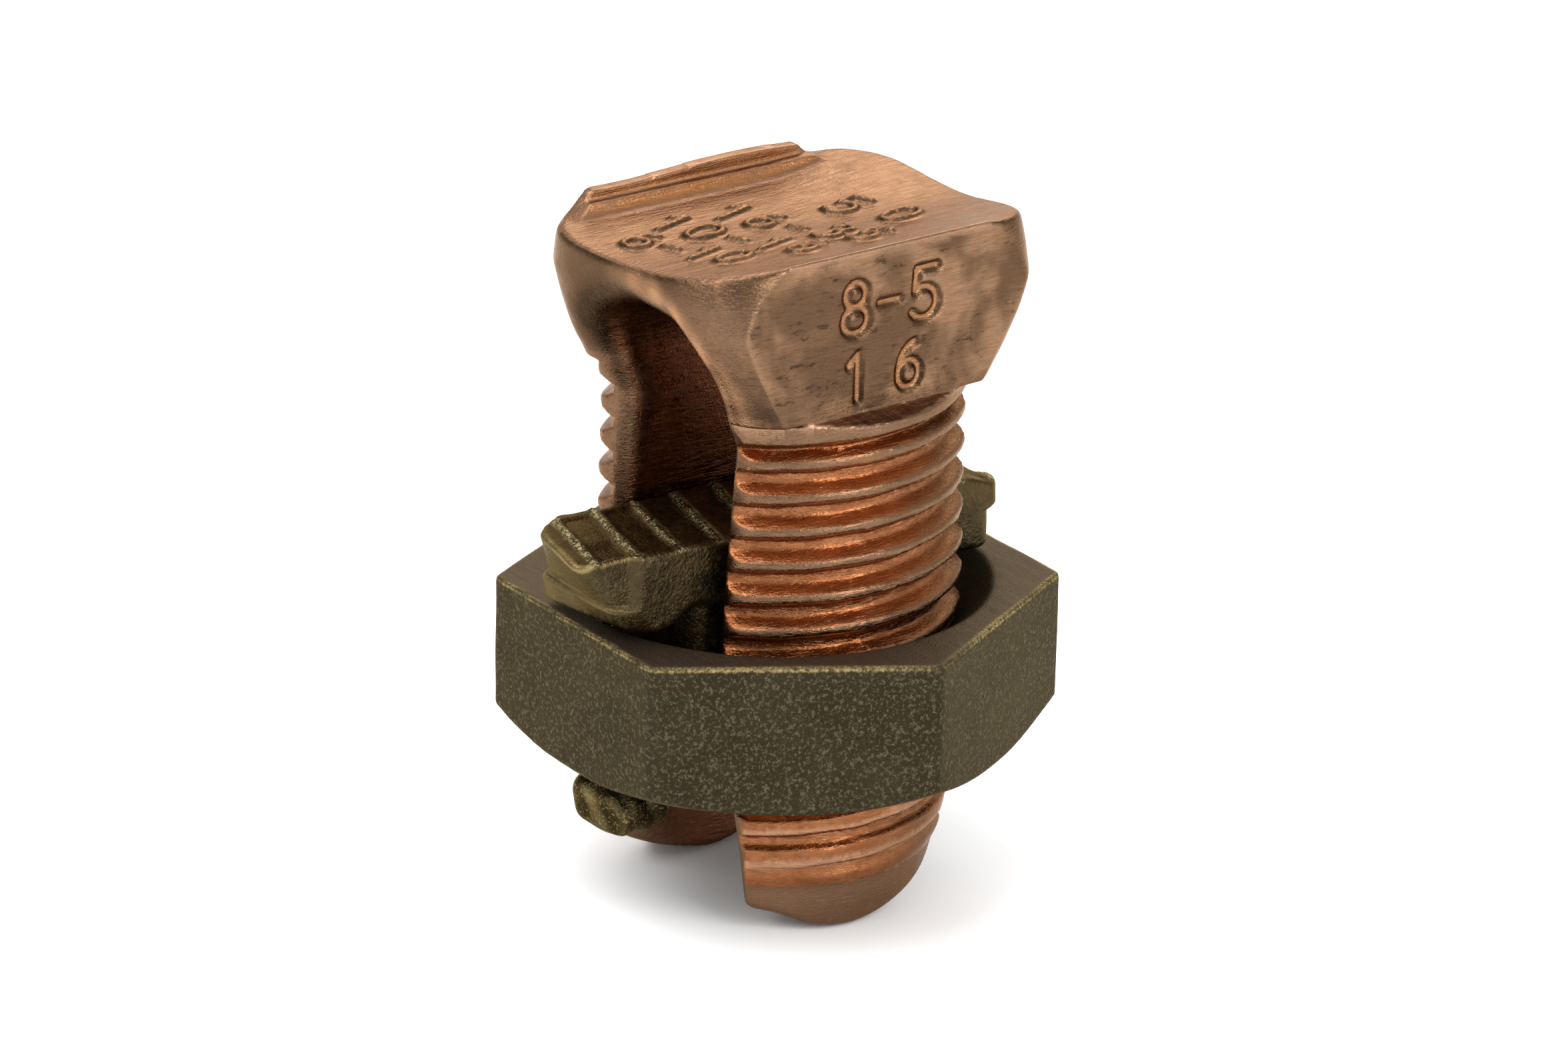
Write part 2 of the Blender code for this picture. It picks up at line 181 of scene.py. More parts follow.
class Marks:
    """Rows of stroked figures as a map of height over a flat area, read by place."""

    def __init__(self, rows, half_stroke, low, high, cell=0.03):
        self.low, self.cell = low, cell
        counts = [int(math.ceil((high[i] - low[i]) / cell)) + 1 for i in range(2)]
        u = low[0] + cell * np.arange(counts[0])[:, None]
        v = low[1] + cell * np.arange(counts[1])[None, :]
        nearest = np.full(counts, 9.0)
        for text, left, base, size, spacing in rows:
            for place, letter in enumerate(text):
                for line in STROKES[letter]:
                    points = [(left + (place * spacing + a) * size, base + b * size) for a, b in line]
                    for start, end in zip(points, points[1:]):
                        nearest = np.minimum(nearest, self.from_line(u, v, start, end))
        self.height = np.cos(np.clip(nearest / half_stroke, 0, 1) * math.pi) * 0.5 + 0.5

    @staticmethod
    def from_line(u, v, start, end):
        """Distance from a straight line between two points."""
        along = (end[0] - start[0], end[1] - start[1])
        length = along[0] ** 2 + along[1] ** 2 + 1e-9
        share = np.clip(((u - start[0]) * along[0] + (v - start[1]) * along[1]) / length, 0, 1)
        return np.hypot(u - start[0] - share * along[0], v - start[1] - share * along[1])

    def at(self, u, v):
        """Height of the marks, 0 to 1, at these places."""
        across = (u - self.low[0]) / self.cell
        up = (v - self.low[1]) / self.cell
        i = np.clip(across.astype(np.int32), 0, self.height.shape[0] - 2)
        j = np.clip(up.astype(np.int32), 0, self.height.shape[1] - 2)
        a, b = np.clip(across - i, 0, 1), np.clip(up - j, 0, 1)
        h = self.height
        low = h[i, j] * (1 - a) + h[i + 1, j] * a
        high = h[i, j + 1] * (1 - a) + h[i + 1, j + 1] * a
        return (low * (1 - b) + high * b).astype(np.float32)


TOP_LEAN = math.radians(16)
TOP_MARKS = Marks(
    [
        ("50", -0.3, 2.9, 2.3, 1.3),
        ("16-35", -3.7, -1.0, 2.1, 0.9),
        ("10-16", -4.9, -3.9, 2.1, 0.9),
        ("6-10", -4.4, -6.6, 2.0, 0.85),
    ],
    0.3,
    (-7.5, -9.0),
    (7.8, 9.0),
)
SIDE_MARKS = Marks(
    [
        ("8-5", -2.2, 28.75, 2.35, 0.82),
        ("16", -2.0, 25.65, 2.1, 1.4),
    ],
    0.42,
    (-4.0, 25.0),
    (4.0, 32.0),
)


# ---- the three shapes ------------------------------------------------------------------------------------


def crest_distance(x, y, z):
    """Height above the middle of the nearest thread crest."""
    turns = (z - CREST_HEIGHT) / PITCH - np.arctan2(y, x) / (2 * math.pi)
    return (turns - np.round(turns)) * PITCH


def bolt_blank(x, y, z):
    """The forging before slot, thread and trimming: a round shank that swells into a long rounded head."""
    places = (23.6, 24.3, 25.05, 25.6, 26.8, 28.0, 29.6, 31.0, 31.8, 32.6)
    half_x = table(z, places, (8.3, 8.3, 8.3, 8.1, 7.85, 7.9, 8.0, 7.8, 7.65, 7.45))
    half_y = table(z, places, (8.3, 8.3, 8.4, 8.4, 8.65, 8.95, 9.2, 9.35, 9.3, 9.15))
    power = table(z, places, (2.0, 2.25, 2.6, 3.0, 3.9, 4.4, 5.0, 4.5, 4.2, 3.9))
    aside = table(z, places, (0.0, 0.1, 0.2, 0.25, 0.3, 0.3, 0.3, 0.3, 0.35, 0.4))
    share = ((np.abs(x) / half_x) ** power + (np.abs(y - aside) / half_y) ** power + 1e-9) ** (1 / power)
    return (share - 1) * 8.3 + 0.035 * ripple(x, y, z, 5.0, 3) * step(24.0, 27.0, z)


def top_marks(x, y):
    """The top's marks, whose rows lean against the head's sides."""
    cosine, sine = math.cos(TOP_LEAN), math.sin(TOP_LEAN)
    return TOP_MARKS.at(x * cosine + y * sine, y * cosine - x * sine)


def head_top(x, y):
    """Height of the top face: hollow across X and lower on -X, with a thin raised edge on +X."""
    share = (x + 6.3) / 13.45
    lip = 0.1 * step(6.75, 7.1, x)
    marks = TOP_MARK_RELIEF * top_marks(x, y)
    curl = 0.5 * step(3.0, 8.0, y) * step(2.0, -5.0, x)
    hollow = TOP_HOLLOW * np.sin(math.pi * np.clip(share, 0, 1))
    return TOP_LOW + TOP_RISE * share - hollow + lip + curl + marks


def groove_radius(x, y, z):
    """Radius of the threaded surface, which fades out at the neck and is turned down at the tip."""
    from_crest = np.abs(crest_distance(x, y, z)) + 0.025 * ripple(x, y, z, 2.2, 11)
    drop = np.clip((from_crest - CREST_WIDTH / 2) / TAN30, 0, CREST_RADIUS - ROOT_RADIUS)
    angle = np.arctan2(y, x)
    wound = np.where(np.abs(angle) > math.pi / 2, np.abs(angle) - 2.2, angle)
    neck = NECK_HEIGHT + PITCH * wound / (2 * math.pi)
    drop = np.minimum(drop, np.maximum(neck - z, 0) / TAN30)
    worn = table(z, (0.0, 1.4, 2.5, 2.9, 4.5, 6.5, 8.5, 11.0), (6.9, 7.2, 7.35, 7.6, 7.85, 8.1, 8.3, 8.3))
    return np.minimum(CREST_RADIUS - drop, worn + 0.05 * ripple(x, y, z, 4.0, 5))


def slot(x, y, z):
    """Distance inside the slot and its round arch, which opens a little wider at its two mouths."""
    arch = np.hypot(x, np.maximum(z - ARCH_CENTRE, 0))
    mouth = step(5.2, 8.8, np.abs(y)) * step(23.5, 27.0, z)
    return SLOT_HALF + mouth * (0.45 + 0.7 * step(0.5, 3.5, x)) - arch


def rim_and_step(x, y, z):
    """The raised lip on the head's top and the low step at its foot."""
    top = RIM_HEIGHT + 0.12 * np.sin(y * 0.5 + 0.6)
    end = (np.abs(y + 0.15) - RIM_REACH + (z - TOP_LOW) * 0.75) * 0.8
    rim = np.maximum(np.maximum(np.abs(x - RIM_MIDDLE) - RIM_HALF, z - top), end)
    foot = np.maximum(np.maximum(np.abs(x - STEP_MIDDLE) - STEP_HALF, z - STEP_HEIGHT), end)
    return np.minimum(rim, foot)


def bolt(x, y, z):
    """The bolt: blank with its top, lip, trimmed flats, slot, thread and rounded leg tips."""
    blank = bolt_blank(x, y, z)
    body = round_and(blank, z - head_top(x, y), 0.28)
    body = round_or(body, rim_and_step(x, y, z), 0.7)
    body = np.maximum(body, blank)
    mark = SIDE_MARK_RELIEF * SIDE_MARKS.at(y, z) * (x > 0)
    trim = np.abs(x) - HEAD_HALF + mark + 0.012 * ripple(x, y, z, 3.0, 21)
    ledge = z - LEDGE_HEIGHT + 0.25 * (np.abs(x) - HEAD_HALF) + 0.03 * ripple(x, y * 8, z, 1.2, 4)
    body = np.maximum(body, np.minimum(trim, ledge))
    heights = (0.0, 4.0, 8.0, 15.0, 20.0, 23.5, 26.0, 29.0)
    corner = table(z, heights, (4.2, 3.5, 2.5, 1.95, 2.4, 2.8, 2.2, 1.6))
    body = round_and(body, slot(x, y, z) + 0.02 * ripple(x, y, z, 4.0, 8), corner)
    radius = np.hypot(x, y)
    body = np.maximum(body, np.where(z < SHANK_TOP, (radius - groove_radius(x, y, z)) * 0.5, -1.0))
    crown = 1.35 * (np.abs(y + 0.5) / 5) ** 1.7 + 0.1 * ripple(x, y, z, 4.0, 6) + 0.1
    return round_and(body, crown - z, 0.3).astype(np.float32)


def nut(x, y, z):
    """The nut: hexagon, chamfered lower corners, threaded bore, countersink and a small lump."""
    sides = []
    for k in range(3):
        angle = NUT_TURN + math.radians(30 + 60 * k)
        sides.append(np.abs(x * math.cos(angle) + y * math.sin(angle)) - NUT_HALF)
    sides = round_and(round_and(sides[0], sides[1], 0.22), sides[2], 0.22)
    x, y = x + NUT_SHIFT[0], y + NUT_SHIFT[1]
    radius = np.hypot(x, y)
    cone = ((radius - NUT_FACE) * TAN30 - (z - NUT_BASE)) * math.cos(math.radians(30))
    body = round_and(round_and(sides, z - NUT_TOP, 0.2), round_and(cone, NUT_BASE - z, 0.3), 0.12)
    from_crest = PITCH / 2 - np.abs(crest_distance(x, y, z))
    groove = np.clip((from_crest - 0.1) / TAN30, 0, NUT_GROOVE - NUT_BORE)
    bore = (NUT_BORE + groove - radius) * 0.5
    sink = (COUNTERSINK + (z - NUT_TOP) * 1.05 - radius) * 0.7
    body = np.maximum(body, np.maximum(bore, sink))
    from_lump = np.hypot(np.hypot(x + 5.6, y - 9.9), z - 12.6)
    lump = 0.25 * np.exp(-((from_lump / 0.9) ** 2))
    return (body + 0.02 * ripple(x, y, z, 3.5, 2) - lump).astype(np.float32)


def bar_ridge(x, y):
    """Distance along the bar from the middle of the nearest ridge."""
    ridge = (y + RIDGE_SKEW * x + RIDGE_PHASE) / RIDGE_SPACING
    return np.abs(ridge - np.round(ridge)) * RIDGE_SPACING


def bar(x, y, z):
    """The bar: a ribbed top, flared sides with a parting line, a slanted nose, a stem and two lugs."""
    up = (z - BAR_BASE) / 3.9
    cast = step(-10.1, -10.6, y)
    lower = step(16.7, 16.45, z + 0.1 * np.sin(y))
    rear = 0.55 * step(17.0, 16.8, z) * step(8.0, 9.0, y)
    across = np.abs(x) - BAR_HALF + 0.1 * up + cast * (0.25 * (1 - lower) + 0.15 * up)
    front = BAR_FRONT + 0.15 * x - np.clip(up, 0, 1.1) * (2.25 + 0.49 * x)
    ends = round_and((front - y) * 0.82 + 0.2 * (1 - lower), y - BAR_BACK + rear, 0.1)
    plan = round_and(across, ends, np.where(y < 0, 1.1, 0.9).astype(np.float32))
    lengths = (-14.0, -11.0, -6.0, -3.0, 0.0, 5.0, 8.0, 10.0)
    crown = table(y, lengths, (18.8, 18.75, 18.5, 18.4, 18.4, 18.5, 18.5, 17.9))
    from_ridge = bar_ridge(x, y)
    ribs = 0.24 * np.exp(-((from_ridge / 0.3) ** 2)) - 0.08 * step(0.3, 1.1, from_ridge)
    burr = 0.22 * step(2.35, 2.75, x) + 0.12 * step(2.35, 2.75, -x)
    crown = crown + np.maximum(ribs, burr) + 0.05 * ripple(x, y, z, 1.6, 31)
    reach = np.abs(y + 0.5)
    rise = 0.95 * step(8.6, 6.2, reach)
    under = BAR_BASE + rise + 0.05 * ripple(x, y, z, 2.0, 33)
    body = round_and(round_and(plan, z - crown, 0.22), under - z, 0.3)
    body = body + 0.025 * ripple(x, y, z, 2.5, 35)
    stem = round_and(np.abs(x) - 3.0, np.hypot(np.maximum(np.abs(x), 1.5), y) - 7.35, 0.5)
    stem = np.maximum(np.maximum(stem, z - STEM_TOP), STEM_BASE - z)
    from_core = np.hypot(np.maximum(np.abs(x) - 0.9, 0), z - LUG_MIDDLE[1])
    lug = round_and(from_core - 1.2, np.abs(np.abs(y) - LUG_MIDDLE[0]) - 1.55, 0.7)
    lug = lug + 0.08 * ripple(x, y, z, 1.2, 37)
    return round_or(body, np.minimum(stem, lug), 0.4).astype(np.float32)


# ---- meshing ---------------------------------------------------------------------------------------------


def sample(field, low, counts, cell):
    """The field on a grid, worked out only in blocks near the surface."""
    block = 4
    blocks = [int(math.ceil(c / block)) for c in counts]
    shape = [b * block for b in blocks]
    centres = [low[i] + cell * (block * np.arange(blocks[i]) + (block - 1) / 2) for i in range(3)]
    gx, gy, gz = np.meshgrid(*[c.astype(np.float32) for c in centres], indexing="ij")
    coarse = field(gx.ravel(), gy.ravel(), gz.ravel())
    values = np.repeat(np.repeat(np.repeat(coarse.reshape(blocks), block, 0), block, 1), block, 2)
    near = np.flatnonzero(np.abs(coarse) < cell * block * 1.3 + 0.3)
    offsets = np.stack(np.meshgrid(*[np.arange(block)] * 3, indexing="ij"), -1).reshape(-1, 3)
    for start in range(0, len(near), 20000):
        chosen = np.stack(np.unravel_index(near[start : start + 20000], blocks), -1)
        spots = (chosen[:, None, :] * block + offsets[None]).reshape(-1, 3)
        p = (np.array(low) + cell * spots).astype(np.float32)
        values[spots[:, 0], spots[:, 1], spots[:, 2]] = field(p[:, 0], p[:, 1], p[:, 2])
    return values.reshape(shape)


def surface(field, low, high, cell):
    """Points and four-sided faces of the field's zero surface, one point in each cell that it crosses."""
    low = [v - 3 * cell for v in low]
    counts = [int(math.ceil((high[i] + 3 * cell - low[i]) / cell)) for i in range(3)]
    values = sample(field, low, counts, cell)
    inside = values < 0
    size = [n - 1 for n in values.shape]
    corners = [(i, j, k) for i in (0, 1) for j in (0, 1) for k in (0, 1)]
    count = np.zeros(size, np.uint8)
    for i, j, k in corners:
        count += inside[i : i + size[0], j : j + size[1], k : k + size[2]]
    cells = np.argwhere((count > 0) & (count < 8))
    number = np.full(size, -1, np.int32)
    number[cells[:, 0], cells[:, 1], cells[:, 2]] = np.arange(len(cells))
    at = {c: values[cells[:, 0] + c[0], cells[:, 1] + c[1], cells[:, 2] + c[2]] for c in corners}
    total, hits = np.zeros((len(cells), 3)), np.zeros(len(cells))
    for a in corners:
        for axis in range(3):
            if a[axis]:
                continue
            b = tuple(1 if i == axis else a[i] for i in range(3))
            crossed = (at[a] < 0) != (at[b] < 0)
            gap = np.where(crossed, at[a] - at[b], 1.0)
            share = np.where(crossed, at[a] / gap, 0.0)
            for i in range(3):
                total[:, i] += crossed * (a[i] + (share if i == axis else 0.0))
            hits += crossed
    points = (cells + total / hits[:, None]) * cell + np.array(low)
    faces = []
    for axis in range(3):
        first, second = (axis + 1) % 3, (axis + 2) % 3
        a = np.moveaxis(inside, axis, 0)
        change = np.argwhere(a[:-1] != a[1:])
        leaving = a[change[:, 0], change[:, 1], change[:, 2]]
        spot = np.empty_like(change)
        others = [i for i in range(3) if i != axis]
        spot[:, axis] = change[:, 0]
        spot[:, others[0]], spot[:, others[1]] = change[:, 1], change[:, 2]
        loop = []
        for back_first, back_second in ((1, 1), (0, 1), (0, 0), (1, 0)):
            q = spot.copy()
            q[:, first] -= back_first
            q[:, second] -= back_second
            loop.append(number[q[:, 0], q[:, 1], q[:, 2]])
        loop = np.stack(loop, -1)
        faces.append(np.where(leaving[:, None], loop, loop[:, ::-1]))
    return points, np.concatenate(faces)


def build(name, field, low, high, cell, most):
    """The piece's mesh: the field's surface, thinned to at most this many triangles where it is flat."""
    points, faces = surface(field, low, high, cell)
    mesh = bpy.data.meshes.new(name)
    mesh.vertices.add(len(points))
    mesh.vertices.foreach_set("co", (points * MM).astype(np.float32).ravel())
    mesh.loops.add(faces.size)
    mesh.loops.foreach_set("vertex_index", faces.astype(np.int32).ravel())
    mesh.polygons.add(len(faces))
    mesh.polygons.foreach_set("loop_start", np.arange(0, faces.size, 4, dtype=np.int32))
    mesh.update(calc_edges=True)
    obj = bpy.data.objects.new(name, mesh)
    bpy.context.scene.collection.objects.link(obj)
    if 2 * len(faces) > most:
        thin = obj.modifiers.new("thin", "DECIMATE")
        thin.ratio = most / (2 * len(faces))
        graph = bpy.context.evaluated_depsgraph_get()
        thinned = bpy.data.meshes.new_from_object(obj.evaluated_get(graph))
        obj.modifiers.clear()
        obj.data = thinned
        bpy.data.meshes.remove(mesh)
        thinned.name = name
    obj.data.shade_smooth()
    return obj


def points_and_normals(mesh):
    """Each point's place in millimetres and its normal."""
    count = len(mesh.vertices)
    co, normal = np.empty(count * 3, np.float32), np.empty(count * 3, np.float32)
    mesh.vertices.foreach_get("co", co)
    mesh.vertices.foreach_get("normal", normal)
    return co.reshape(-1, 3) / MM, normal.reshape(-1, 3)


def attribute_values(mesh, name):
    """What a mask holds at each point."""
    values = np.empty(len(mesh.vertices), np.float32)
    mesh.attributes[name].data.foreach_get("value", values)
    return values


def mask(mesh, name, values):
    """Keeps a value from 0 to 1 at each point, for the piece's finish to read."""
    attribute = mesh.attributes.get(name) or mesh.attributes.new(name, "FLOAT", "POINT")
    attribute.data.foreach_set("value", np.clip(values, 0, 1).astype(np.float32))


def mask_wear(mesh, field, reach):
    """Marks convex edges, painted bright as partly worn metal and partly painted highlight, and hollow
    corners, painted dark as painted shade, by how the surface bends.
    """
    p, n = points_and_normals(mesh)
    deep, out = p - n * reach, p + n * reach
    inward, outward = -field(*deep.T), field(*out.T)
    # Convex edges: partly wear, partly painted highlight
    mask(mesh, "edge", 1.6 * (1 - inward / reach))
    # Hollow corners: painted shade
    mask(mesh, "corner", 1.6 * (1 - outward / reach))
    return p, n


# ---- finishes --------------------------------------------------------------------------------------------


class Finish:
    """A node material, built up from small steps."""

    def __init__(self, name, tone=0.78):
        self.tone = tone
        self.material = bpy.data.materials.new(name)
        self.material.use_nodes = True
        self.tree = self.material.node_tree
        self.shader = self.tree.nodes["Principled BSDF"]
        self.place = self.node("ShaderNodeTexCoord").outputs["Object"]

    def node(self, kind, **settings):
        """A new node of this kind with its settings."""
        made = self.tree.nodes.new(kind)
        for key, value in settings.items():
            setattr(made, key, value)
        return made

    def feed(self, socket, value):
        """Links a socket, or sets a plain value. Every plain colour is scaled by the finish's tone."""
        if isinstance(value, bpy.types.NodeSocket):
            self.tree.links.new(value, socket)
        elif isinstance(value, tuple) and len(value) == 3 and socket.type == "RGBA":
            socket.default_value = (*[v * self.tone for v in value], 1.0)
        else:
            socket.default_value = value

    def mask(self, name):
        """A mask that the piece's mesh holds."""
        return self.node("ShaderNodeAttribute", attribute_name=name).outputs["Fac"]

    def stretched(self, scale, turn=(0, 0, 0)):
        """The place on the object, scaled and turned, for noise that runs one way."""
        mapping = self.node("ShaderNodeMapping")
        self.feed(mapping.inputs["Vector"], self.place)
        mapping.inputs["Scale"].default_value = scale
        mapping.inputs["Rotation"].default_value = turn
        return mapping.outputs["Vector"]

    def noise(self, size, detail=3.0, rough=0.55, twist=0.0, place=None):
        """Noise whose lumps are about this many millimetres across."""
        made = self.node("ShaderNodeTexNoise")
        self.feed(made.inputs["Vector"], self.place if place is None else place)
        made.inputs["Scale"].default_value = 1 / (size * MM)
        made.inputs["Detail"].default_value = detail
        made.inputs["Roughness"].default_value = rough
        made.inputs["Distortion"].default_value = twist
        return made.outputs["Fac"]

    def between(self, value, low, high, out_low=0.0, out_high=1.0):
        """A smooth change from one output to the other as the value goes from low to high."""
        made = self.node("ShaderNodeMapRange", interpolation_type="SMOOTHSTEP")
        self.feed(made.inputs["Value"], value)
        limits = {"From Min": low, "From Max": high, "To Min": out_low, "To Max": out_high}
        for name, number in limits.items():
            made.inputs[name].default_value = number
        return made.outputs["Result"]

    def sum(self, kind, a, b):
        """Two values added or multiplied, kept between 0 and 1."""
        made = self.node("ShaderNodeMath", operation=kind, use_clamp=True)
        self.feed(made.inputs[0], a)
        self.feed(made.inputs[1], b)
        return made.outputs[0]

    def mix(self, share, a, b):
        """Colour a where the share is 0, and b where it is 1."""
        made = self.node("ShaderNodeMix", data_type="RGBA")
        self.feed(made.inputs["Factor"], share)
        self.feed(made.inputs[6], a)
        self.feed(made.inputs[7], b)
        return made.outputs[2]

    def bump(self, height, depth, normal=None):
        """Relief of this many millimetres."""
        made = self.node("ShaderNodeBump")
        self.feed(made.inputs["Height"], height)
        made.inputs["Distance"].default_value = depth * MM
        if normal is not None:
            self.feed(made.inputs["Normal"], normal)
        return made.outputs["Normal"]

    def done(self, colour, rough, normal, grazing):
        """Finishes the material as a metal, with this tint where light grazes it."""
        self.feed(self.shader.inputs["Base Color"], colour)
        self.feed(self.shader.inputs["Roughness"], rough)
        self.feed(self.shader.inputs["Normal"], normal)
        self.shader.inputs["Metallic"].default_value = 1.0
        self.shader.inputs["Specular Tint"].default_value = (*grazing, 1.0)
        return self.material


def copper():
    """Forged copper: tarnished hide, satin top, trimmed flats and bright cut thread."""
    f = Finish("forged_copper_finish")
    cloudy = f.noise(3.0, 4.0, 0.6)
    patchy = f.noise(0.9, 4.0, 0.65, 0.4)
    grain = f.noise(0.12, 2.0, 0.6)
    brushed = f.noise(0.5, 3.0, 0.6, place=f.stretched((3.0, 0.25, 1.0), (0, 0, 0.25)))
    colour = f.mix(f.between(cloudy, 0.35, 0.65), (0.125, 0.07, 0.038), (0.085, 0.046, 0.024))
    colour = f.mix(f.between(patchy, 0.5, 0.75), colour, (0.24, 0.125, 0.065))
    satin = f.mix(f.between(brushed, 0.3, 0.7), (0.36, 0.20, 0.118), (0.28, 0.145, 0.08))
    satin = f.mix(f.sum("MULTIPLY", f.between(patchy, 0.52, 0.72), 0.35), satin, (0.21, 0.125, 0.08))
    # Round faces of the head painted darker: partly patina, partly painted shade standing for dark
    # reflections
    colour = f.mix(f.mask("tarnish_and_painted_shade"), colour, f.mix(patchy, (0.05, 0.03, 0.017), (0.022, 0.014, 0.009)))
    colour = f.mix(f.mask("top"), colour, satin)
    # Painted highlight: a bright band around the arch's mouth
    colour = f.mix(f.mask("lip"), colour, (0.62, 0.33, 0.17))
    rim = f.sum("MULTIPLY", f.mask("rim"), f.between(brushed, 0.2, 0.6))
    colour = f.mix(rim, colour, (0.40, 0.17, 0.065))
    combed = f.noise(0.4, 3.0, 0.6, place=f.stretched((1.0, 0.3, 3.0), (0.5, 0, 0)))
    tan = f.mix(f.between(combed, 0.3, 0.7), (0.33, 0.19, 0.106), (0.26, 0.142, 0.079))
    scuff = f.noise(0.35, 3.0, 0.7, place=f.stretched((1.0, 0.35, 1.0), (0.8, 0, 0)))
    broad = f.noise(5.0, 3.0, 0.6, 0.3)
    tan = f.mix(f.between(broad, 0.42, 0.6), tan, (0.13, 0.073, 0.041))
    spots = f.sum("MULTIPLY", f.between(scuff, 0.57, 0.68), f.between(broad, 0.44, 0.56))
    tan = f.mix(f.sum("MULTIPLY", spots, 0.85), tan, (0.05, 0.03, 0.018))
    colour = f.mix(f.mask("trim"), colour, tan)
    colour = f.mix(f.sum("MULTIPLY", f.mask("mark"), 0.75), colour, (0.40, 0.19, 0.085))
    colour = f.mix(f.mask("crest"), colour, f.mix(patchy, (0.25, 0.14, 0.08), (0.15, 0.085, 0.048)))
    fresh = f.mix(f.between(patchy, 0.35, 0.7), (0.36, 0.135, 0.052), (0.27, 0.09, 0.032))
    colour = f.mix(f.mask("fresh"), colour, fresh)
    # Painted highlight: a thin bright line just below each thread crest
    colour = f.mix(f.sum("MULTIPLY", f.mask("line"), 0.75), colour, (0.60, 0.34, 0.20))
    colour = f.mix(f.mask("slot"), colour, f.mix(patchy, (0.30, 0.125, 0.062), (0.20, 0.08, 0.038)))
    # Painted shade in hollow corners
    colour = f.mix(f.sum("MULTIPLY", f.mask("corner"), 0.6), colour, (0.06, 0.028, 0.014))
    # Bright edges: partly worn metal, partly painted highlight
    colour = f.mix(f.sum("MULTIPLY", f.mask("edge"), 0.6), colour, (0.62, 0.36, 0.22))
    rough = f.between(patchy, 0.3, 0.7, 0.20, 0.33)
    rough = f.sum("ADD", rough, f.sum("MULTIPLY", f.mask("top"), 0.05))
    scratch = f.noise(0.3, 2.0, 0.5, 2.0, place=f.stretched((1.0, 0.2, 2.5), (0.5, 0.3, 0)))
    normal = f.bump(grain, 0.012, f.bump(patchy, 0.018, f.bump(scratch, 0.03)))
    return f.done(colour, rough, normal, (0.82, 0.68, 0.58))


def cast_bronze():
    """Dark cast bronze with worn ridges, and a foot painted near black with brighter grains."""
    f = Finish("cast_bronze_finish")
    cloudy = f.noise(2.2, 4.0, 0.6)
    lumpy = f.noise(0.35, 3.0, 0.7)
    grain = f.noise(0.14, 2.0, 0.6)
    colour = f.mix(f.between(cloudy, 0.35, 0.65), (0.085, 0.06, 0.028), (0.05, 0.04, 0.023))
    colour = f.mix(f.between(lumpy, 0.5, 0.8), colour, (0.16, 0.12, 0.056))
    colour = f.mix(f.mask("valley"), colour, f.mix(lumpy, (0.085, 0.048, 0.02), (0.045, 0.027, 0.013)))
    shine = f.sum("MULTIPLY", f.mask("ridge"), f.between(grain, 0.45, 0.6))
    colour = f.mix(shine, colour, (0.50, 0.42, 0.22))
    # Below z of 9 to 12 the colour goes near black, with brighter grains
    foot = f.mix(f.between(grain, 0.55, 0.68), (0.022, 0.017, 0.009), (0.22, 0.16, 0.06))
    colour = f.mix(f.mask("foot"), colour, foot)
    # Bright edges: partly worn metal, partly painted highlight
    colour = f.mix(f.sum("MULTIPLY", f.mask("edge"), 0.6), colour, (0.55, 0.42, 0.18))
    # Painted shade in hollow corners
    colour = f.mix(f.sum("MULTIPLY", f.mask("corner"), 0.7), colour, (0.03, 0.02, 0.01))
    rough = f.between(lumpy, 0.3, 0.7, 0.32, 0.5)
    normal = f.bump(grain, 0.05, f.bump(lumpy, 0.07))
    return f.done(colour, rough, normal, (0.75, 0.66, 0.52))


def aged_bronze():
    """Dark olive bronze, finely mottled, with yellow corners that are partly worn metal and partly painted
    highlight.
    """
    f = Finish("aged_bronze_finish")
    cloudy = f.noise(3.5, 3.0, 0.6)
    speckle = f.noise(0.19, 5.0, 0.8)
    grain = f.noise(0.10, 2.0, 0.6)
    brushed = f.noise(0.5, 3.0, 0.6, place=f.stretched((0.3, 3.0, 1.0), (0, 0, -0.5)))
    colour = f.mix(f.between(cloudy, 0.35, 0.65), (0.046, 0.036, 0.019), (0.036, 0.029, 0.016))
    colour = f.mix(f.between(speckle, 0.51, 0.60), colour, (0.125, 0.108, 0.066))
    colour = f.mix(f.mask("top"), colour, f.mix(brushed, (0.15, 0.11, 0.075), (0.07, 0.052, 0.034)))
    colour = f.mix(f.mask("bore"), colour, (0.055, 0.04, 0.022))
    # Yellow speckled edges: partly worn metal, partly painted highlight
    worn = f.sum("MULTIPLY", f.between(f.mask("edge"), 0.05, 0.5), f.between(speckle, 0.35, 0.6))
    colour = f.mix(worn, colour, (0.55, 0.42, 0.17))
    rough = f.between(speckle, 0.3, 0.7, 0.42, 0.52)
    normal = f.bump(grain, 0.04, f.bump(speckle, 0.04))
    return f.done(colour, rough, normal, (0.72, 0.66, 0.56))


# ---- the pieces ------------------------------------------------------------------------------------------


def finish_piece(obj, material, node, body):
    """Gives a piece its material, hides the CAD node that it stands for and hangs it on the body it rides
    on.
    """
    obj.data.materials.clear()
    obj.data.materials.append(material)
    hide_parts(node)
    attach(obj, body)


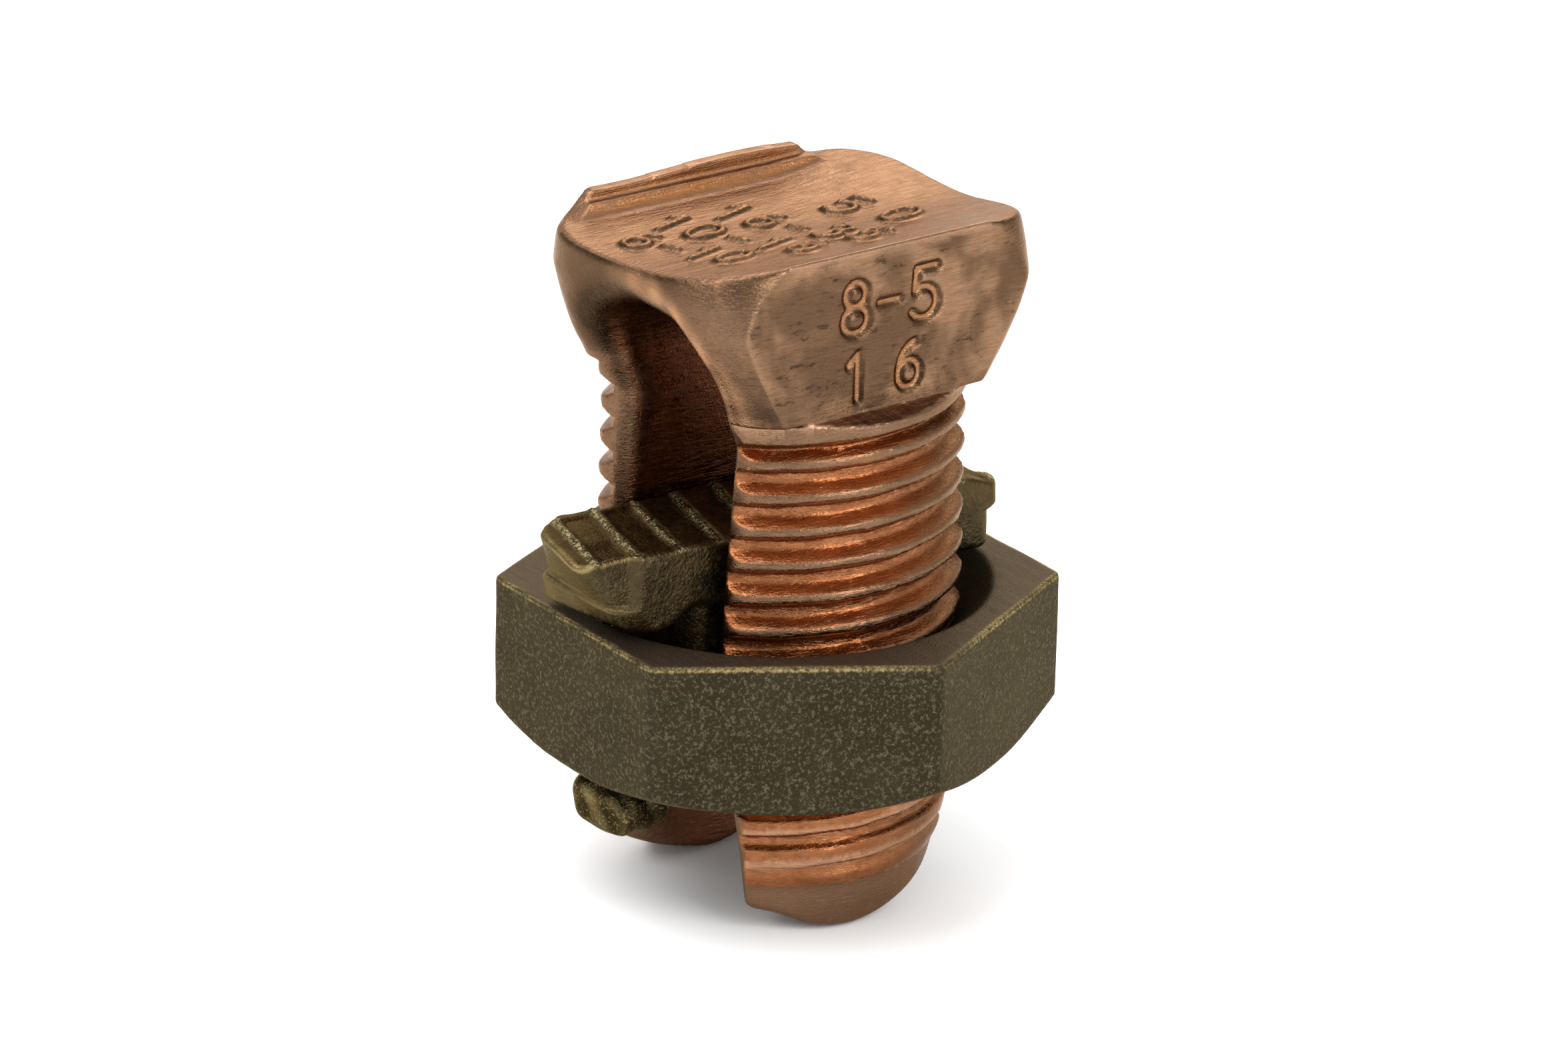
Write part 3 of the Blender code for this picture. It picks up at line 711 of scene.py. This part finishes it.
def mask_thread(mesh, x, y, z, n):
    """Bright cut flanks, a painted highlight line below each crest, dull crests and the slot's walls."""
    radius = np.hypot(x, y)
    in_slot = step(-0.25, -0.06, slot(x, y, z)) * (radius < 8.6)
    outside = (z < HEAD_BASE) * (1 - in_slot)
    depth = groove_radius(x, y, z)
    cut = (z < THREAD_TOP) * (z > TIP_HEIGHT) * (1 - in_slot)
    cut = cut * step(0.12, 0.03, np.abs(depth - radius)) * step(0.02, 0.12, CREST_RADIUS - depth)
    below = crest_distance(x, y, z) + CREST_WIDTH / 2
    dull = step(0.0, 5.5, y * np.sign(x) + 1.6 * ripple(x, y, z, 3.0, 41))
    mask(mesh, "slot", in_slot * step(0.5, 0.9, np.abs(n[:, 0]) + np.maximum(-n[:, 2], 0)))
    mask(mesh, "fresh", cut * (1 - 0.75 * dull))
    mask(mesh, "crest", outside * (1 - cut) * 0.92)
    # Painted highlight line just below each crest
    mask(mesh, "line", cut * step(0.30, 0.16, np.abs(below + 0.22)))
    # Most of the painted edge highlight and corner shade is taken off the threaded outside
    for name in ("edge", "corner"):
        mask(mesh, name, (1 - 0.9 * outside) * attribute_values(mesh, name))


def mask_head(mesh, x, y, z, n):
    """The head's trimmed flats, satin top and marks, the round faces painted darker (partly patina, partly
    painted shade), and a painted highlight at the arch's mouth.
    """
    on_flat = step(0.45, 0.3, np.abs(np.abs(x) - HEAD_HALF)) * (z > HEAD_BASE)
    on_flat = on_flat * step(0.8, 0.95, np.abs(n[:, 0]))
    on_ledge = step(0.6, 0.85, n[:, 2]) * (z > 24.8) * (z < 25.6) * (np.abs(x) > 7.0)
    on_top = np.maximum(step(0.75, 0.92, n[:, 2]) * (z > 30.5), on_ledge)
    rim = (x < -5.4) * (z > 31.2)
    mask(mesh, "trim", on_flat)
    mask(mesh, "top", np.maximum(on_top, rim * 0.8))
    mask(mesh, "rim", rim * step(0.9, 0.7, n[:, 2]) * step(0.1, 0.4, n[:, 0]))
    side_marks = on_flat * (x > 0) * step(0.15, 0.6, SIDE_MARKS.at(y, z))
    marks = 0.6 * on_top * (z > 30) * step(0.3, 0.9, top_marks(x, y))
    mask(mesh, "mark", np.maximum(side_marks, marks))
    # Painted shade on the round ±Y faces, partly patina; less of it near the +X corner, where a painted
    # highlight is left
    painted_shade_share = 1 - 0.85 * step(2.0, 5.2, x) * step(25.8, 27.5, z)
    mask(mesh, "tarnish_and_painted_shade", painted_shade_share * step(0.25, 0.75, np.abs(n[:, 1])) * (z > 25.5) * (1 - on_top))
    # Painted highlight around the arch's mouth on the round faces
    mouth = np.hypot(x, np.maximum(z - ARCH_CENTRE, 0)) - SLOT_HALF
    lip = step(0.7, 1.7, mouth) * step(3.2, 2.2, mouth) * step(-2.0, 2.5, x)
    lip = lip * (z > 24.5) * step(0.5, 0.85, np.abs(n[:, 1]))
    uneven = 0.75 + 0.25 * ripple(x, y, z, 1.2, 43)
    mask(mesh, "lip", 0.8 * lip * (1 - on_top) * (1 - on_flat) * uneven)


def make_bolt():
    obj = build("bolt_forging", bolt, (-9.0, -9.4, -0.1), (9.0, 10.3, 33.0), CELL, BOLT_TRIANGLES)
    p, n = mask_wear(obj.data, bolt, 0.22)
    mask_thread(obj.data, *p.T, n)
    mask_head(obj.data, *p.T, n)
    finish_piece(obj, copper(), "split_bolt", "bolt")


def make_nut():
    obj = build("nut_casting", nut, (-13.0, -13.0, 7.4), (13.0, 13.0, 14.9), NUT_CELL, NUT_TRIANGLES)
    p, n = mask_wear(obj.data, nut, 0.3)
    x, y, z = p.T
    mask(obj.data, "top", step(0.7, 0.95, n[:, 2]) * (z > NUT_TOP - 0.2))
    mask(obj.data, "bore", step(COUNTERSINK + 0.05, COUNTERSINK - 0.2, np.hypot(x, y)))
    finish_piece(obj, aged_bronze(), "hex_nut", "nut")


def make_bar():
    obj = build("bar_casting", bar, (-3.9, -14.9, 3.6), (3.9, 10.9, 19.9), CELL, BAR_TRIANGLES)
    p, n = mask_wear(obj.data, bar, 0.25)
    x, y, z = p.T
    from_ridge = bar_ridge(x, y)
    upper = step(0.3, 0.7, n[:, 2]) * (z > 17.9)
    mask(obj.data, "ridge", upper * step(0.38, 0.1, from_ridge))
    mask(obj.data, "valley", upper * step(0.2, 0.5, from_ridge))
    # Near black from about z 9 to 12 down
    mask(obj.data, "foot", step(12.0, 9.0, z))
    finish_piece(obj, cast_bronze(), "pressure_bar", "bar")


# ---- floor, light and camera -----------------------------------------------------------------------------


def make_floor():
    """A plain pale floor."""
    mesh = bpy.data.meshes.new("floor")
    reach = 1.5
    corners = [(-reach, -reach, 0), (reach, -reach, 0), (reach, reach, 0), (-reach, reach, 0)]
    mesh.from_pydata(corners, [], [(0, 1, 2, 3)])
    floor = bpy.data.objects.new("floor", mesh)
    bpy.context.scene.collection.objects.link(floor)
    f = Finish("floor_paper", 1.0)
    tone = f.mix(f.noise(40.0), (0.94, 0.94, 0.94), (0.96, 0.96, 0.96))
    f.feed(f.shader.inputs["Base Color"], tone)
    f.shader.inputs["Roughness"].default_value = 0.9
    mesh.materials.append(f.material)


def make_world():
    """Even white light from all around."""
    world = bpy.data.worlds.new("studio")
    world.use_nodes = True
    world.node_tree.nodes["Background"].inputs["Color"].default_value = (1.0, 1.0, 1.0, 1.0)
    world.node_tree.nodes["Background"].inputs["Strength"].default_value = 0.95
    bpy.context.scene.world = world


def make_lamp(name, place, size, power):
    """A soft square lamp that faces the object."""
    data = bpy.data.lights.new(name, "AREA")
    data.shape = "SQUARE"
    data.size = size
    data.energy = power
    lamp = bpy.data.objects.new(name, data)
    lamp.location = place
    aim = Vector((0, 0, 0.016)) - Vector(place)
    lamp.rotation_euler = aim.to_track_quat("-Z", "Y").to_euler()
    bpy.context.scene.collection.objects.link(lamp)


def make_camera():
    """The view that matches the photograph: its angle, distance, field and tilt."""
    azimuth, elevation, roll = (math.radians(a) for a in CAMERA_ANGLES)
    flat = math.cos(elevation)
    back = Vector((math.sin(azimuth) * flat, -math.cos(azimuth) * flat, math.sin(elevation)))
    right = Vector((math.cos(azimuth), math.sin(azimuth), 0))
    up = back.cross(right)
    level = right * math.cos(roll) + up * math.sin(roll)
    upright = up * math.cos(roll) - right * math.sin(roll)
    data = bpy.data.cameras.new("camera")
    data.sensor_width = 36.0
    data.lens = FOCAL_SHARE * data.sensor_width
    data.clip_start, data.clip_end = 0.01, 10.0
    camera = bpy.data.objects.new("camera", data)
    shift = level * CAMERA_SHIFT[0] + upright * CAMERA_SHIFT[1]
    place = (back * CAMERA_DISTANCE + shift + Vector((0, 0, NUT_TOP))) * MM
    turn = Matrix((level, upright, back)).transposed().to_4x4()
    camera.matrix_world = Matrix.Translation(place) @ turn
    bpy.context.scene.collection.objects.link(camera)
    bpy.context.scene.camera = camera


make_camera()
make_floor()
make_world()
make_lamp("key", (-0.10, -0.25, 0.50), 0.55, 3.2)
make_lamp("side", (0.45, 0.05, 0.30), 0.30, 1.6)
make_lamp("back", (-0.30, 0.35, 0.35), 0.35, 0.9)
bpy.context.scene.view_settings.view_transform = "Standard"
make_bolt()
make_nut()
make_bar()
